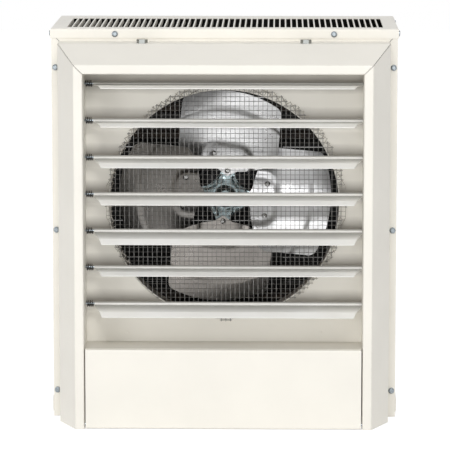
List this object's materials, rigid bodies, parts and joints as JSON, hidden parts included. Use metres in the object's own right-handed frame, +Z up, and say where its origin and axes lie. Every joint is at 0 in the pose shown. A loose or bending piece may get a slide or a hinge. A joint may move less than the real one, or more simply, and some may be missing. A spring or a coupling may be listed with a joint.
{
  "type": "electric unit heater",
  "caption": "Cream electric unit heater with adjustable louvres, a wire mesh over a four-blade fan, a vented top cover and a drop-down access door.",
  "frame": {"origin": "middle of the base, on the lower edge of the front frame", "axes": "+Z up, the louvred front faces -Y, +X to the right as seen from the front"},
  "size_m": [0.4844, 0.3, 0.5435],
  "materials": {
    "cabinet_paint": "satin powder coat",
    "frame_paint": "satin powder coat",
    "louvre_paint": "satin",
    "blade_aluminium": "smooth mill",
    "cast_aluminium": "cast",
    "galvanised_steel": "galvanised",
    "zinc_steel": "zinc plated",
    "black_steel": "black",
    "element_steel": "oxidised",
    "black_plastic": "moulded",
    "copper": "bare"
  },
  "bodies": {
    "cabinet": {"left_side_panel": "cabinet_paint", "right_side_panel": "cabinet_paint", "bottom_pan": "cabinet_paint", "door_sill": "cabinet_paint", "top_cover": "cabinet_paint", "rear_panel": "cabinet_paint", "left_post": "frame_paint", "right_post": "frame_paint", "top_trim": "frame_paint", "orifice_panel": "cabinet_paint", "orifice_ring": "galvanised_steel", "mesh_guard": "zinc_steel", "shelf": "cabinet_paint", "compartment_divider": "cabinet_paint", "door_hinge_pins": "zinc_steel", "door_catches": "black_plastic", "louvre_spring_1": "black_steel", "louvre_spring_2": "black_steel", "louvre_spring_3": "black_steel", "louvre_spring_4": "black_steel", "louvre_spring_5": "black_steel", "louvre_spring_6": "black_steel", "louvre_spring_7": "black_steel", "louvre_rods": "zinc_steel", "motor_stator": "black_steel", "motor_front_bell": "cast_aluminium", "motor_rear_bell": "cast_aluminium", "motor_studs": "zinc_steel", "motor_bar": "galvanised_steel", "heating_elements": "element_steel", "element_fins": "element_steel", "element_brackets": "galvanised_steel", "limit_switch": "black_plastic", "contactor": "black_plastic", "transformer": "black_steel", "terminal_block": "black_plastic", "ground_lug": "copper", "frame_screws": "zinc_steel", "cover_screws": "zinc_steel", "rear_panel_screws": "zinc_steel", "hanger_bolts": "zinc_steel", "hanger_nuts": "zinc_steel"},
    "access_door": {"access_door": "frame_paint"},
    "fan": {"fan_spider": "galvanised_steel", "fan_blade_1": "blade_aluminium", "fan_blade_2": "blade_aluminium", "fan_blade_3": "blade_aluminium", "fan_blade_4": "blade_aluminium", "fan_rivets": "zinc_steel", "fan_set_screw": "black_steel", "motor_shaft": "zinc_steel", "motor_rotor": "black_steel"},
    "louvre_1": {"louvre_1": "louvre_paint"},
    "louvre_2": {"louvre_2": "louvre_paint"},
    "louvre_3": {"louvre_3": "louvre_paint"},
    "louvre_4": {"louvre_4": "louvre_paint"},
    "louvre_5": {"louvre_5": "louvre_paint"},
    "louvre_6": {"louvre_6": "louvre_paint"},
    "louvre_7": {"louvre_7": "louvre_paint"}
  },
  "joints": [
    {"name": "fan_spin", "type": "hinge", "parent": "cabinet", "child": "fan", "pos_m": [0, 0.003, 0.3025], "axis": [0, 1, 0], "continuous": true},
    {"name": "door_hinge", "type": "hinge", "parent": "cabinet", "child": "access_door", "pos_m": [0, -0.144, 0.006], "axis": [1, 0, 0], "range_deg": [0, 95]},
    {"name": "louvre_1_pivot", "type": "hinge", "parent": "cabinet", "child": "louvre_1", "pos_m": [0, -0.106, 0.4725], "axis": [1, 0, 0], "range_deg": [-21.5, 58.5]},
    {"name": "louvre_2_pivot", "type": "hinge", "parent": "cabinet", "child": "louvre_2", "pos_m": [0, -0.106, 0.4217], "axis": [1, 0, 0], "range_deg": [-24, 56]},
    {"name": "louvre_3_pivot", "type": "hinge", "parent": "cabinet", "child": "louvre_3", "pos_m": [0, -0.106, 0.3709], "axis": [1, 0, 0], "range_deg": [-31, 49]},
    {"name": "louvre_4_pivot", "type": "hinge", "parent": "cabinet", "child": "louvre_4", "pos_m": [0, -0.106, 0.3201], "axis": [1, 0, 0], "range_deg": [-31.5, 48.5]},
    {"name": "louvre_5_pivot", "type": "hinge", "parent": "cabinet", "child": "louvre_5", "pos_m": [0, -0.106, 0.2693], "axis": [1, 0, 0], "range_deg": [-37, 43]},
    {"name": "louvre_6_pivot", "type": "hinge", "parent": "cabinet", "child": "louvre_6", "pos_m": [0, -0.106, 0.2185], "axis": [1, 0, 0], "range_deg": [-26, 54]},
    {"name": "louvre_7_pivot", "type": "hinge", "parent": "cabinet", "child": "louvre_7", "pos_m": [0, -0.106, 0.1677], "axis": [1, 0, 0], "range_deg": [-36, 44]}
  ]
}
